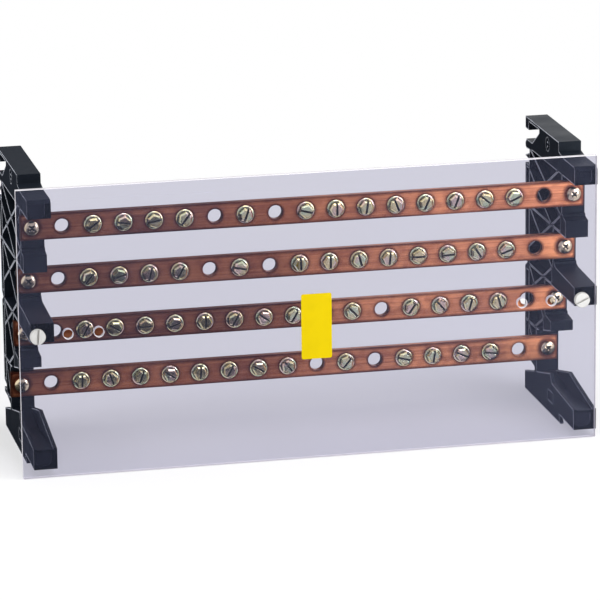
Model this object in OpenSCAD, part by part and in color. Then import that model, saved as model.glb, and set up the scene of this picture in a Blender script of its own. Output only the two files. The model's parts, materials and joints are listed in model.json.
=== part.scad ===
// Stepped busbar distribution block: two ribbed supports carry four drilled copper bars,
// each one lower and further back than the last, behind a flat clear cover.
// X runs along the bars, Y from the cover to the rear, Z up. The origin is under the middle.

/* [Bars] */
// Height of each copper bar
bar_h = 15; // [13:0.5:17]
// Thickness of each copper bar
bar_t = 4; // [3:0.5:5]
// Spacing of the screw places along a bar
pitch = 17.5; // [16:0.5:20]
// Bar left beyond its outermost screw place
bar_end = 6.2; // [5:0.2:8]
// Depth from one bar to the next one down
step_y = 18; // [17:0.5:20]
// Height from one bar to the next one down
step_z = 35.5; // [34:0.5:38]
// Height of the lowest bar's middle above the ground
low_bar_z = 33; // [32:0.5:36]
// Diameter of the plain cable holes
cable_hole_d = 8; // [6.5:0.25:9]

/* [Terminal screws] */
// Diameter of the thread
term_d = 5; // [4:0.25:6]
// Length of the thread under the flange
term_len = 10; // [7:0.5:12]
// Diameter of the round flange
term_flange_d = 10.25; // [10:0.25:12]
// Thickness of the round flange at its rim
term_rim_h = 0.5; // [0.3:0.1:0.6]
// Thickness of the round flange at the hexagon
term_flange_h = 1; // [0.8:0.1:1.6]
// Hexagon measured across its flats
term_af = 7.25; // [7:0.25:8.25]
// Height of the hexagon above the flange
term_hex_h = 3; // [2.4:0.1:4]
// Height of the sloping edge at the top of the hexagon
term_taper = 0.9; // [0.4:0.1:1.1]
// Width of the screwdriver slot
term_slot_w = 1.2; // [0.8:0.1:1.8]
// Depth of the screwdriver slot
term_slot_deep = 1.5; // [1:0.1:2]

/* [Bar end screws] */
// Diameter of the thread
end_d = 4; // [3:0.25:5]
// Length of the thread under the head
end_len = 14; // [10:0.5:16]
// Diameter of the pan head
end_head_d = 8.5; // [8:0.25:10]
// Height of the pan head
end_head_h = 2.6; // [2:0.1:3.4]
// Width of each arm of the cross recess
cross_w = 1.2; // [0.8:0.1:1.6]
// Length of each arm of the cross recess
cross_len = 5; // [4:0.1:6]
// Depth of the cross recess
cross_deep = 1.4; // [0.8:0.1:1.8]

/* [Cover] */
// Width of the clear plate
cover_w = 333.8; // [332:0.2:340]
// Thickness of the clear plate
cover_t = 3; // [2:0.25:4]
// Middle of the plate left of the middle of the bars
cover_left = 2.7; // [0:0.1:4]
// Gap between the ground and the lower edge of the plate
cover_lift = 0.4; // [0.4:0.1:3]
// Gap between the upper edge of the plate and the top of the supports
cover_drop = 0.1; // [0:0.1:3]
// Diameter of the holes in the plate
cover_hole_d = 5.5; // [4.75:0.25:6.5]
// Holes in the row at each end of the plate
cover_holes = 3; // [1:1:5]

/* [Cover screws] */
// Diameter of the thread
nylon_d = 4; // [3:0.25:4.5]
// Length of the thread under the head
nylon_len = 14; // [8:0.5:16]
// Diameter of the cheese head
nylon_head_d = 8.8; // [7.5:0.1:10]
// Height of the cheese head
nylon_head_h = 2.8; // [2:0.1:3.6]
// Width of the screwdriver slot
nylon_slot_w = 1.2; // [0.8:0.1:1.6]
// Depth of the screwdriver slot
nylon_slot_deep = 1.3; // [0.8:0.1:1.6]

/* [Label] */
// Width of the label
label_w = 17.6; // [12:0.2:24]
// Height of the label
label_h = 38; // [30:0.5:46]
// Thickness of the label
label_t = 0.3; // [0.1:0.1:0.6]
// Height of the label's middle above the ground
label_z = 78.2; // [60:0.2:100]

/* [Supports] */
// Width of a support along the bars
support_w = 13.4; // [12:0.2:16]
// Depth from the front of the highest bar to the rear of a support
support_deep = 84.3; // [82:0.1:88]
// Depth from the rear of the cover to the front of the highest bar
arm_reach = 22.3; // [18:0.1:26]
// Left face of a support to its bar screws
bar_screw_in = 5.4; // [5:0.1:6.5]
// Left face of a support to its cover screw
cover_screw_in = 3.4; // [3:0.1:5]
// Underside of the middle arm to its cover screw
cover_screw_up = 4.6; // [4:0.1:6]
// Thickness of the outer walls
wall_t = 2.2; // [1.8:0.1:2.8]
// Thickness of the ribs
rib_t = 1.6; // [1:0.1:2.2]
// Thickness of the web between the pockets
web_t = 2.6; // [2:0.1:4]
// Diameter of the bosses behind the bar ends
boss_d = 9; // [7.5:0.1:9.8]
// Length of the bosses behind the bar ends
boss_len = 15; // [12:0.5:17]

/* [Arms and blocks] */
// Gap between the top of a bar and the arm or block above it
shelf_gap = 2.6; // [1.5:0.1:4]
// Height of the upper arm
arm_h = 10.6; // [9:0.1:12]
// Height of the middle arm at the cover
mid_arm_h = 11; // [9.5:0.1:12.5]
// Height of the upper block
block_h = 10; // [7:0.1:12]
// Upper block in front of the highest bar's face
block_reach = 3.5; // [1:0.1:6]
// Height of the lower block
low_block_h = 6; // [4:0.1:7.5]
// Lower block in front of the third bar's face
low_block_reach = 9; // [5:0.1:12]
// Bevel at the front of the arms
arm_bevel = 2; // [1:0.1:3]
// Height of the ledges where arms and blocks leave the column
ledge_h = 3; // [1:0.1:4]
// Depth of the ledges where arms and blocks leave the column
ledge_deep = 1.8; // [0.8:0.1:3]
// Width of the shallow recesses in the front faces
recess_w = 9; // [7:0.1:9.6]
// Height of the shallow recesses in the front faces
recess_h = 8; // [6:0.1:8.4]
// Corner radius of the shallow recesses in the front faces
recess_r = 3; // [1:0.1:4]
// Depth of the shallow recesses in the front faces
recess_deep = 1.2; // [0.6:0.1:1.6]

/* [Hook] */
// Height of the hook above the upper arm
hook_rise = 7.3; // [6.5:0.1:10]
// Thickness of the plate at the top
hook_t = 2.1; // [1.6:0.1:3]
// Height of the lip at the rear
lip_h = 7.2; // [6:0.1:8.4]
// Thickness of the lip at the rear
lip_t = 7.4; // [6:0.1:9]
// Length of the rail slot from the rear
slot_len = 30; // [26:0.5:34]
// Height from the slot's floor to the top
slot_floor_down = 13.3; // [12:0.1:14]
// Front of the hook behind the rear of the highest bar
hook_set = 8; // [6:0.1:10]
// Width of the flange along the rear
flange_w = 8.8; // [7.5:0.1:10]
// Height of the nose under the rail slot
nose_h = 4.7; // [4:0.1:5.5]
// Height of the gap under the nose
gap_h = 2.6; // [2:0.1:3.2]
// Height from the nose down to the tooth
tooth_down = 5.5; // [4.5:0.1:6.5]
// Height from the tooth down to the flange
tooth_h = 4.6; // [4:0.1:6]
// Height of the nicks in the rear flange
nick_h = 4.4; // [3.6:0.1:5]
// Depth of the notch in the rear flange
vee_deep = 5; // [3:0.1:6]
// Diameter of the round mark on the side of the hook
mark_d = 7.6; // [6:0.1:9]
// Front of the hook to the round mark
mark_in = 24; // [20:0.5:28]
// Depth of the marks on the left side
mark_deep = 0.6; // [0.3:0.1:0.9]

/* [Foot] */
// Height of the foot at its rear
foot_rear_h = 11.2; // [9:0.1:12]
// Height of the trough's floor above the rear of the foot
floor_up = 2.4; // [2:0.1:3]
// Height of the hump of the foot's side walls
foot_hump_h = 24.6; // [23:0.1:25]
// Height of the side walls at the cover
foot_front_h = 16.4; // [15:0.1:18]
// Step of the left side wall in front of its hump
foot_step = 5; // [3:0.1:6]
// Gap between the ground and the front box of the foot
box_lift = 4.4; // [3:0.1:6]
// Rear of the front box behind the face of the highest bar
box_end = 6; // [2:0.5:12]
// Width of the clip pocket in the left side wall
clip_w = 11; // [8:0.5:14]
// Height of the clip pocket in the left side wall
clip_h = 6; // [4:0.5:7]

/* [Hidden] */
// Radial clearance between a thread and its hole
clear = 0.05;
// Overlap of a cut past the surface that it leaves
past = 1;
last_place = 18;
bars = 4;
$fn = 48;
plain_places = [[1, 6, 8, 17], [1, 6, 8, 17], [1, 12, 17], [1, 10, 12, 17]];
// Turn of each terminal screw's slot, place by place
slot_turns = [
    [0, 0, 35, 170, 10, 52, 0, 70, 0, 165, 90, 80, 112, 66, 68, 140, 25, 0, 0],
    [0, 0, 50, 15, 75, 60, 0, 168, 0, 92, 88, 105, 84, 0, 3, 122, 20, 0, 0],
    [0, 0, 60, 148, 0, 20, 88, 60, 141, 60, 0, 133, 0, 55, 130, 75, 105, 0, 0],
    [0, 0, 88, 110, 69, 146, 86, 60, 149, 128, 0, 50, 0, 165, 81, 156, 172, 0, 0]
];
// Turn of the slots of the left and the right cover screw
nylon_turns = [85, 25];
black = [0.13, 0.13, 0.15];
copper = [0.72, 0.42, 0.26];
zinc = [0.85, 0.72, 0.4];
steel = [0.8, 0.77, 0.7];
nylon = [0.95, 0.95, 0.93];
clear_tint = [0.8, 0.82, 0.9, 0.35];
yellow = [0.98, 0.85, 0.1];

// Places of the bars, counted from the highest, in depth behind its face and in height
function bar_y(i) = i * step_y;
function bar_z(i) = low_bar_z + (bars - 1 - i) * step_z;
function seat(i) = bar_y(i) + bar_t;
function bar_top(i) = bar_z(i) + bar_h / 2;
function bar_low(i) = bar_z(i) - bar_h / 2;
function place_x(k) = (k - last_place / 2) * pitch;
function is_plain(i, k) = len([for (p = plain_places[i]) if (p == k) p]) > 0;
function terminal_places(i) = [for (k = [1:last_place - 1]) if (!is_plain(i, k)) k];

bar_len = last_place * pitch + 2 * bar_end;
support_x = [place_x(0) - bar_screw_in, place_x(last_place) - bar_screw_in];
cover_back = -arm_reach;
cover_face = cover_back - cover_t;

// The whole block is moved so that the origin lies under the middle of its box
x_low = min(-cover_left - cover_w / 2, support_x[0], -bar_len / 2);
x_high = max(-cover_left + cover_w / 2, support_x[1] + support_w, bar_len / 2);
y_low = cover_face - nylon_head_h;
to_middle = [-(x_low + x_high) / 2, -(y_low + support_deep) / 2, 0];

// Lines and points of a support's side view, as depth and height
edge = wall_t - rib_t / 2;
rear_rib = support_deep - flange_w;
brace_slope = 0.5;
second_drop = 13.5;
truss_in = 4.6;
truss_low = 7;
blunt = 0.6;
nose_bevel = 2.4;
arm_low = bar_top(0) + shelf_gap;
arm_top = arm_low + arm_h;
support_h = arm_top + hook_rise;
cover_h = support_h - cover_lift - cover_drop;
slot_floor = support_h - slot_floor_down;
nose_low = slot_floor - nose_h;
tooth_z = nose_low - tooth_down;
flange_top = tooth_z - tooth_h;
flange_low = bar_low(3) - truss_in;
block_low = bar_top(1) + shelf_gap;
block_top = block_low + block_h;
mid_low = bar_top(2) + shelf_gap;
mid_top = mid_low + mid_arm_h;
low_block_top = bar_low(2) - truss_in;
cover_screw_z = mid_low + cover_screw_up;
function shelf(i) = bar_top(i) + shelf_gap + rib_t / 2;
function shelf_node(i) = [seat(i) + (i == 0 ? hook_set : truss_in), shelf(i)];
function front_node(i) = [seat(i) + edge + rib_t, bar_low(i) - truss_low];
function rear_node(i) = [rear_rib, shelf(i)];
function brace_end(i) = [rear_rib, shelf(i) - brace_slope * (rear_rib - shelf_node(i).x)];

// Where two lines cross, each given by two of its points
function cross_point(p, q) =
    let (r = p[1] - p[0], s = q[1] - q[0])
    p[0] + r * cross(q[0] - p[0], s) / cross(r, s);

// A line moved to its left by d
function moved(a, b, d) =
    let (v = (b - a) / norm(b - a))
    [a + d * [-v.y, v.x], b + d * [-v.y, v.x]];

// An anticlockwise convex outline drawn in by d all round
function inset(pts, d) =
    let (n = len(pts))
    [for (i = [0:n - 1])
        cross_point(moved(pts[(i + n - 1) % n], pts[i], d), moved(pts[i], pts[(i + 1) % n], d))];

// A profile of depth and height, drawn along X from x
module prism(x, w, pts) {
    translate([x, 0, 0])
        rotate([90, 0, 90])
            linear_extrude(w)
                polygon(pts);
}

// A round bar or bore along Y from the depth y
module rod(x, y, z, d, len) {
    translate([x, y, z])
        rotate([-90, 0, 0])
            cylinder(d = d, h = len);
}

// The side view of a support without its foot
function hook_line() = [
    [seat(0) + hook_set, support_h],
    [seat(0) + hook_set, arm_top + ledge_deep],
    [seat(0) - ledge_h, arm_top],
    [cover_back + arm_bevel, arm_top],
    [cover_back, arm_top - arm_bevel]
];
function ledge(i, z) = [
    [seat(i), z + ledge_h],
    [seat(i) - ledge_deep, z + ledge_h - blunt],
    [seat(i) - ledge_deep, z + ledge_deep - blunt]
];
function front_line() = concat(
    [[cover_back, arm_low], [seat(0), arm_low]],
    ledge(0, block_top),
    [[-block_reach, block_top], [-block_reach, block_low], [seat(1), block_low]],
    ledge(1, mid_top + ledge_deep),
    [
        [bar_y(1) - ledge_deep, mid_top + ledge_deep],
        [cover_back, mid_top],
        [cover_back, mid_low],
        [seat(2), mid_low]
    ],
    ledge(2, low_block_top),
    [
        [bar_y(2) - low_block_reach, low_block_top],
        [bar_y(2) - low_block_reach, low_block_top - low_block_h],
        [seat(3), bar_top(3) + shelf_gap]
    ]
);
function foot_root() = [
    [seat(3), floor_z],
    [seat(3) + truss_in, floor_z],
    [seat(3) + truss_in, flange_low - ledge_deep],
    [rear_rib - edge, flange_low]
];
function nick(z) = [
    [support_deep, z],
    [rear_rib + blunt, z + blunt],
    [rear_rib + blunt, z + nick_h - 2 * blunt],
    [support_deep, z + nick_h]
];
function rear_line() = concat(
    [[support_deep, flange_low]],
    nick(flange_low + ledge_h),
    [
        [support_deep, shelf(2) - vee_deep / 2],
        [support_deep - vee_deep, shelf(2)],
        [support_deep, shelf(2) + vee_deep / 2],
        [support_deep, flange_top],
        [rear_rib + blunt, flange_top],
        [rear_rib + blunt, tooth_z - 2 * blunt],
        [support_deep, tooth_z - blunt],
        [support_deep, tooth_z],
        [rear_rib, nose_low - gap_h],
        [rear_rib, nose_low - blunt],
        [support_deep - nose_bevel, nose_low - nose_bevel / 2],
        [support_deep, nose_low],
        [support_deep, slot_floor - nose_bevel],
        [support_deep - nose_bevel, slot_floor]
    ]
);
function slot_line() = [
    [support_deep - slot_len / 2, slot_floor],
    [support_deep - slot_len, support_h - hook_t - arm_bevel],
    [support_deep - slot_len, support_h - hook_t],
    [support_deep - lip_t, support_h - hook_t],
    [support_deep - lip_t, support_h - lip_h],
    [support_deep, support_h - lip_h],
    [support_deep, support_h]
];

// The triangles of the truss between one bar and the next, anticlockwise
function bay_cells(i) =
    let (
        top = shelf_node(i),
        low = front_node(i),
        next = shelf_node(i + 1),
        rear = rear_node(i),
        rear_low = rear_node(i + 1),
        end = brace_end(i),
        mid = cross_point([top, end], [rear, low]),
        front = [seat(i) + edge, shelf(i)],
        second = [rear_rib, shelf(i) - second_drop],
        fork = cross_point([top, end], [second, next])
    )
    concat(
        [
            [top, mid, rear],
            [front, [front.x, low.y], low, mid, top],
            [[low.x, next.y], next, low]
        ],
        i == 0
            ? [[mid, fork, second, rear], [mid, low, next, fork], [fork, end, second],
                [fork, next, rear_low, end]]
            : [[mid, end, rear], [mid, low, next, rear_low, end]]
    );

// The cells beside the lowest bar and in the rear flange
function low_cells() =
    let (
        front = seat(3) + edge,
        low = flange_low + edge,
        rear = rear_node(3)
    )
    [
        [[front, low + ledge_deep], rear, [front, shelf(3)]],
        [[front, low + ledge_deep], [front + truss_in, low], [rear_rib, low], rear]
    ];
function flange_cells() =
    let (
        a = rear_rib,
        b = support_deep - edge,
        spans = [
            [flange_low + ledge_h + nick_h + edge, shelf(3)],
            [shelf(3), shelf(2) - vee_deep / 2 - edge],
            [shelf(2) + vee_deep / 2 + edge, shelf(1)],
            [shelf(1), flange_top - edge]
        ]
    )
    [for (s = spans) [[a, s[0]], [b, s[0]], [b, s[1]], [a, s[1]]]];

// Pockets of the arms and the hook, open to the right only
function blind_cells() =
    let (
        arm_in = cover_back + arm_bevel + edge,
        mid_in = cover_back + nylon_len + edge,
        slant = [support_deep - slot_len, support_h - hook_t - arm_bevel],
        front = seat(0) + hook_set + edge,
        split = slant.x - truss_in
    )
    [
        [[arm_in, arm_low + edge], [-edge, arm_low + edge],
            [-edge, arm_top - edge], [arm_in, arm_top - edge]],
        [[mid_in, mid_low + edge], [seat(1) - edge, mid_low + edge],
            [seat(1) - edge, mid_top], [mid_in, mid_top - edge]],
        [[front, shelf(0)], [split, shelf(0)], [split, slant.y], [front, slant.y]],
        [[split, shelf(0)], [rear_rib - truss_low, shelf(0)],
            [rear_rib - truss_low, shelf(0) + gap_h], [slant.x + arm_bevel, slant.y - arm_bevel - edge]]
    ];

// The foot: a trough between two side walls, with a closed box at the cover
floor_z = foot_rear_h + floor_up;
hump_y = bar_y(1) + truss_low;
rise_y = seat(3) + truss_in;
function foot_wall(step) = [
    [support_deep, 0],
    [support_deep, foot_rear_h],
    [rise_y, floor_z + ledge_h],
    [hump_y + ledge_h, foot_hump_h],
    [hump_y, foot_hump_h - step],
    [cover_back, foot_front_h],
    [cover_back, box_lift],
    [box_end + ledge_h, box_lift + blunt],
    [box_end, 0]
];
function foot_floor() = [
    [rise_y, floor_z],
    [seat(3), floor_z + truss_in],
    [hump_y + truss_low, floor_z],
    [hump_y, floor_z - blunt],
    [cover_back, foot_front_h - blunt],
    [cover_back, foot_front_h - blunt - wall_t],
    [hump_y, floor_z - blunt - wall_t],
    [hump_y + truss_low, floor_z - wall_t]
];

module foot() {
    prism(0, wall_t, foot_wall(foot_step));
    prism(support_w - wall_t, wall_t, foot_wall(blunt));
    prism(0, support_w, foot_floor());
    translate([0, cover_back, box_lift])
        cube([support_w, wall_t, foot_front_h - blunt - box_lift]);
    prism(0, support_w, [
        [cover_back, box_lift],
        [box_end + ledge_h, box_lift + blunt],
        [box_end + ledge_h, box_lift + blunt + wall_t],
        [cover_back, box_lift + wall_t]
    ]);
    translate([0, support_deep - wall_t, 0])
        cube([support_w, wall_t, foot_rear_h - blunt]);
    for (y = [hump_y, seat(3)])
        translate([0, y, 0])
            cube([support_w, wall_t, floor_z - wall_t]);
}

// A shallow recess in a front face, with round lower corners
module recess(z) {
    x = bar_screw_in;
    deep = recess_deep + past;
    y = cover_back - past;
    translate([x - recess_w / 2, y, z - recess_h / 2 + recess_r])
        cube([recess_w, deep, recess_h - recess_r]);
    translate([x - recess_w / 2 + recess_r, y, z - recess_h / 2])
        cube([recess_w - 2 * recess_r, deep, recess_r + past]);
    for (side = [-1, 1])
        rod(x + side * (recess_w / 2 - recess_r), y, z - recess_h / 2 + recess_r, 2 * recess_r, deep);
}

// The marks on the left side: a ring with two pips on the hook, and a clip pocket in the foot
module side_marks() {
    translate([-past, seat(0) + hook_set + mark_in, (slot_floor + support_h) / 2])
        rotate([0, 90, 0])
            difference() {
                cylinder(d = mark_d, h = mark_deep + past);
                for (side = [-1, 1])
                    translate([side * mark_d / 6, 0, -past])
                        cylinder(d = mark_d / 5, h = mark_deep + 3 * past);
            }
    translate([-past, hump_y - ledge_h, floor_z - clip_h])
        cube([mark_deep + past, clip_w, clip_h]);
}

module support(x) {
    pocket = (support_w - web_t) / 2;
    blind = support_w - bar_screw_in - web_t / 2;
    outline = concat(hook_line(), front_line(), foot_root(), rear_line(), slot_line());
    through_cells = concat([for (i = [0:bars - 2]) each bay_cells(i)], low_cells(), flange_cells());
    color(black)
        translate(to_middle + [x, 0, 0])
            difference() {
                union() {
                    difference() {
                        prism(0, support_w, outline);
                        for (cell = through_cells) {
                            prism(-past, pocket + past, inset(cell, rib_t / 2));
                            prism(support_w - pocket, pocket + past, inset(cell, rib_t / 2));
                        }
                        for (cell = blind_cells())
                            prism(support_w - blind, blind + past, inset(cell, rib_t / 2));
                    }
                    foot();
                    for (i = [0:bars - 1])
                        rod(bar_screw_in, seat(i) + 0.5, bar_z(i), boss_d, boss_len - 0.5);
                }
                for (i = [0:bars - 1])
                    rod(bar_screw_in, seat(i) - past, bar_z(i), end_d + 2 * clear, end_len - bar_t + past);
                rod(cover_screw_in, cover_back - past, cover_screw_z, nylon_d + 2 * clear,
                    nylon_len - cover_t + past);
                recess((arm_low + arm_top - arm_bevel) / 2);
                recess((box_lift + foot_front_h) / 2);
                side_marks();
            }
}

module busbar(i) {
    color(copper)
        translate(to_middle)
            difference() {
                translate([-bar_len / 2, bar_y(i), bar_low(i)])
                    cube([bar_len, bar_t, bar_h]);
                for (k = [0, last_place])
                    rod(place_x(k), bar_y(i) - past, bar_z(i), end_d + 2 * clear, bar_t + 2 * past);
                for (k = plain_places[i])
                    rod(place_x(k), bar_y(i) - past, bar_z(i), cable_hole_d, bar_t + 2 * past);
                for (k = terminal_places(i))
                    rod(place_x(k), bar_y(i) - past, bar_z(i), term_d + 2 * clear, bar_t + 2 * past);
            }
}

// A flanged hexagon screw with its flange on the plane y = 0 and its thread towards the rear
module terminal_screw(turn) {
    hex_d = term_af / cos(30);
    top = term_flange_h + term_hex_h;
    rotate([90, turn, 0])
        difference() {
            union() {
                translate([0, 0, -term_len])
                    cylinder(d = term_d, h = term_len);
                rotate_extrude()
                    polygon([
                        [0, 0],
                        [term_flange_d / 2, 0],
                        [term_flange_d / 2, term_rim_h],
                        [hex_d / 2 + 2 * clear, term_flange_h],
                        [0, term_flange_h]
                    ]);
                translate([0, 0, term_flange_h])
                    cylinder(d = hex_d, h = term_hex_h - term_taper, $fn = 6);
                translate([0, 0, top - term_taper])
                    cylinder(d1 = hex_d, d2 = hex_d - 2 * term_taper, h = term_taper, $fn = 6);
            }
            translate([-term_flange_d / 2, -term_slot_w / 2, top - term_slot_deep])
                cube([term_flange_d, term_slot_w, term_slot_deep + past]);
        }
}

module terminal_screws(i) {
    color(zinc)
        translate(to_middle)
            for (k = terminal_places(i))
                translate([place_x(k), bar_y(i), bar_z(i)])
                    terminal_screw(-slot_turns[i][k]);
}

// A pan-head screw with a cross recess, in the same place as the flanged one
module bar_screw(i, k) {
    color(steel)
        translate(to_middle + [place_x(k), bar_y(i), bar_z(i)])
            rotate([90, 45, 0])
                difference() {
                    union() {
                        translate([0, 0, -end_len])
                            cylinder(d = end_d, h = end_len);
                        rotate_extrude()
                            polygon([
                                [0, 0],
                                [end_head_d / 2, 0],
                                [end_head_d / 2, end_head_h * 0.45],
                                [end_head_d * 0.42, end_head_h * 0.8],
                                [end_head_d * 0.27, end_head_h],
                                [0, end_head_h]
                            ]);
                    }
                    for (a = [0, 90])
                        rotate([0, 0, a])
                            translate([-cross_len / 2, -cross_w / 2, end_head_h - cross_deep])
                                cube([cross_len, cross_w, cross_deep + past]);
                }
}

module cover_plate() {
    color(clear_tint)
        translate(to_middle)
            difference() {
                translate([-cover_left - cover_w / 2, cover_face, cover_lift])
                    cube([cover_w, cover_t, cover_h]);
                for (n = [0:cover_holes - 1], side = [0, 1])
                    rod(support_x[side] + cover_screw_in + (1 - 2 * side) * n * pitch, cover_face - past,
                        cover_screw_z, cover_hole_d, cover_t + 2 * past);
            }
}

module cover_screw(side) {
    color(nylon)
        translate(to_middle + [support_x[side] + cover_screw_in, cover_face, cover_screw_z])
            rotate([90, -nylon_turns[side], 0])
                difference() {
                    union() {
                        translate([0, 0, -nylon_len])
                            cylinder(d = nylon_d, h = nylon_len);
                        cylinder(d = nylon_head_d, h = nylon_head_h);
                    }
                    translate([-nylon_head_d / 2 - past, -nylon_slot_w / 2, nylon_head_h - nylon_slot_deep])
                        cube([nylon_head_d + 2 * past, nylon_slot_w, nylon_slot_deep + past]);
                }
}

module cover_label() {
    color(yellow)
        translate(to_middle + [-label_w / 2, cover_face - label_t, label_z - label_h / 2])
            cube([label_w, label_t, label_h]);
}

support(support_x[0]);  // left_support
support(support_x[1]);  // right_support
busbar(0);  // busbar_1
busbar(1);  // busbar_2
busbar(2);  // busbar_3
busbar(3);  // busbar_4
terminal_screws(0);  // terminal_screws_1
terminal_screws(1);  // terminal_screws_2
terminal_screws(2);  // terminal_screws_3
terminal_screws(3);  // terminal_screws_4
bar_screw(0, 0);  // left_bar_screw_1
bar_screw(1, 0);  // left_bar_screw_2
bar_screw(2, 0);  // left_bar_screw_3
bar_screw(3, 0);  // left_bar_screw_4
bar_screw(0, last_place);  // right_bar_screw_1
bar_screw(1, last_place);  // right_bar_screw_2
bar_screw(2, last_place);  // right_bar_screw_3
bar_screw(3, last_place);  // right_bar_screw_4
cover_plate();
cover_screw(0);  // left_cover_screw
cover_screw(1);  // right_cover_screw
cover_label();
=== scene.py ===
"""Looks of a stepped busbar distribution block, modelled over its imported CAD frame.

Every piece is in metres, in the frame of the CAD model: X along the bars, Y from the cover to the
rear, Z up.
"""

from __future__ import annotations

import json
import logging
import math
from collections.abc import Callable
from dataclasses import dataclass
from enum import Enum
from typing import Any

import bpy
from mathutils import Matrix, Vector

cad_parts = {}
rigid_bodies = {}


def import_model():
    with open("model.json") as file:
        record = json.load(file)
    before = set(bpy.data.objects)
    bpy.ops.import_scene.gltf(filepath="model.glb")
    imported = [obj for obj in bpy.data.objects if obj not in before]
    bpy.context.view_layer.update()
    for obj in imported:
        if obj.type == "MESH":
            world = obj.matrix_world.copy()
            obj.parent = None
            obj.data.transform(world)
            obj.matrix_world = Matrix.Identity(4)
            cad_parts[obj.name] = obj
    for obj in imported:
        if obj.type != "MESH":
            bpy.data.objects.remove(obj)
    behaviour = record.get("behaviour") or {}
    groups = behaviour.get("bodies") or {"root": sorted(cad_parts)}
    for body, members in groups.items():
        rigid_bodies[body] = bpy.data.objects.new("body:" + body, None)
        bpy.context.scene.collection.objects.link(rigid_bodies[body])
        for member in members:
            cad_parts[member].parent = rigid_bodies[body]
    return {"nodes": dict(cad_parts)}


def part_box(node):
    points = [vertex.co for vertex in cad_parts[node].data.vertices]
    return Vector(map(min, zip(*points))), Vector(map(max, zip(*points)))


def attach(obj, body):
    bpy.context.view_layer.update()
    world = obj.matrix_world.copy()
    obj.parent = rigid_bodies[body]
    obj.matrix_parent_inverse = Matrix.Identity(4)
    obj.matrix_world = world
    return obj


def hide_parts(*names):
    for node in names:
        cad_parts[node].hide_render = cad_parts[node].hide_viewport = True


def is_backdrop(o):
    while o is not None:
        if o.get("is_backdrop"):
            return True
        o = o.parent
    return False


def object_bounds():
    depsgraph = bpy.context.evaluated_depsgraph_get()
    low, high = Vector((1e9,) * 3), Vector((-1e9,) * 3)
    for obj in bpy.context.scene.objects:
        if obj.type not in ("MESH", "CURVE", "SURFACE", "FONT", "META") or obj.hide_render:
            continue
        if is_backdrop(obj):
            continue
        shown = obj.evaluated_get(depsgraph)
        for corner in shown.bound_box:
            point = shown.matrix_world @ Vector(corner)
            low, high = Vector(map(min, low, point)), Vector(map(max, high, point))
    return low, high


LOG = logging.getLogger("distribution_block")

Colour = tuple[float, float, float]
Place = tuple[float, float, float]
Span = tuple[float, float]
Profile = tuple[Span, ...]
Table = tuple[tuple[int, ...], ...]

MM = 0.001
ORIGIN: Place = (0.0, 0.0, 0.0)
# Where most of a noise value's range lies
NOISE_SPAN: Span = (0.3, 0.7)
# Rays that measure how near other faces are
NEARNESS_RAYS = 8
# Angle in degrees above which an edge counts as sharp
SHARP_ANGLE = 35.0
# Length of a slot cutter, as a share of the head's width
CUTTER_REACH = 1.2
# Facets round a drilled hole
HOLE_SIDES = 40
# Distance under which two points count as one place
TOUCH = 0.01 * MM
# Distance under which two points are merged
WELD = 0.001 * MM
# Least share of a normal along an axis for a face that looks that way
LOOKING = 0.9


class Slot(Enum):
    """The record's material slots."""

    SUPPORT = "support"
    COPPER = "copper"
    YELLOW_ZINC = "yellow_zinc"
    PLATED_STEEL = "plated_steel"
    CLEAR_COVER = "clear_cover"
    NYLON = "nylon"
    LABEL = "label"


class Side(Enum):
    """The two ends of the block."""

    LEFT = "left"
    RIGHT = "right"


class Wire:
    """One output of a shader graph, with arithmetic that adds Math nodes."""

    def __init__(self, graph: "Graph", socket: bpy.types.NodeSocket) -> None:
        """Wrap a socket.

        Args:
            graph: The graph that the socket belongs to.
            socket: The output socket.
        """
        self.graph = graph
        self.socket = socket

    def _math(self, operation: str, first: Any, second: Any) -> "Wire":
        """Add one Math node.

        Args:
            operation: The node's operation.
            first: The first value or wire.
            second: The second value or wire.

        Returns:
            The node's result.
        """
        return self.graph.node("ShaderNodeMath", {"operation": operation}, {0: first, 1: second})

    def __add__(self, other: Any) -> "Wire":
        """Sum of two values."""
        return self._math("ADD", self, other)

    __radd__ = __add__

    def __sub__(self, other: Any) -> "Wire":
        """Difference of two values."""
        return self._math("SUBTRACT", self, other)

    def __rsub__(self, other: Any) -> "Wire":
        """Difference from a plain number."""
        return self._math("SUBTRACT", other, self)

    def __mul__(self, other: Any) -> "Wire":
        """Product of two values."""
        return self._math("MULTIPLY", self, other)

    __rmul__ = __mul__

    def size(self) -> "Wire":
        """The value without its sign."""
        return self._math("ABSOLUTE", self, 0.0)

    def most(self, other: Any) -> "Wire":
        """The larger of two values."""
        return self._math("MAXIMUM", self, other)

    def ramp(self, low: float, high: float, start: float = 0.0, end: float = 1.0) -> "Wire":
        """Map a span of the value to another span, held at both ends.

        Args:
            low: The value that becomes start.
            high: The value that becomes end.
            start: The result at low.
            end: The result at high.

        Returns:
            The mapped value.
        """
        return self.graph.node(
            "ShaderNodeMapRange",
            {"clamp": True},
            {"Value": self, "From Min": low, "From Max": high, "To Min": start, "To Max": end},
        )

    def spread(self, start: float, end: float) -> "Wire":
        """Map most of a noise value's range to a span."""
        return self.ramp(*NOISE_SPAN, start, end)


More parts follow.
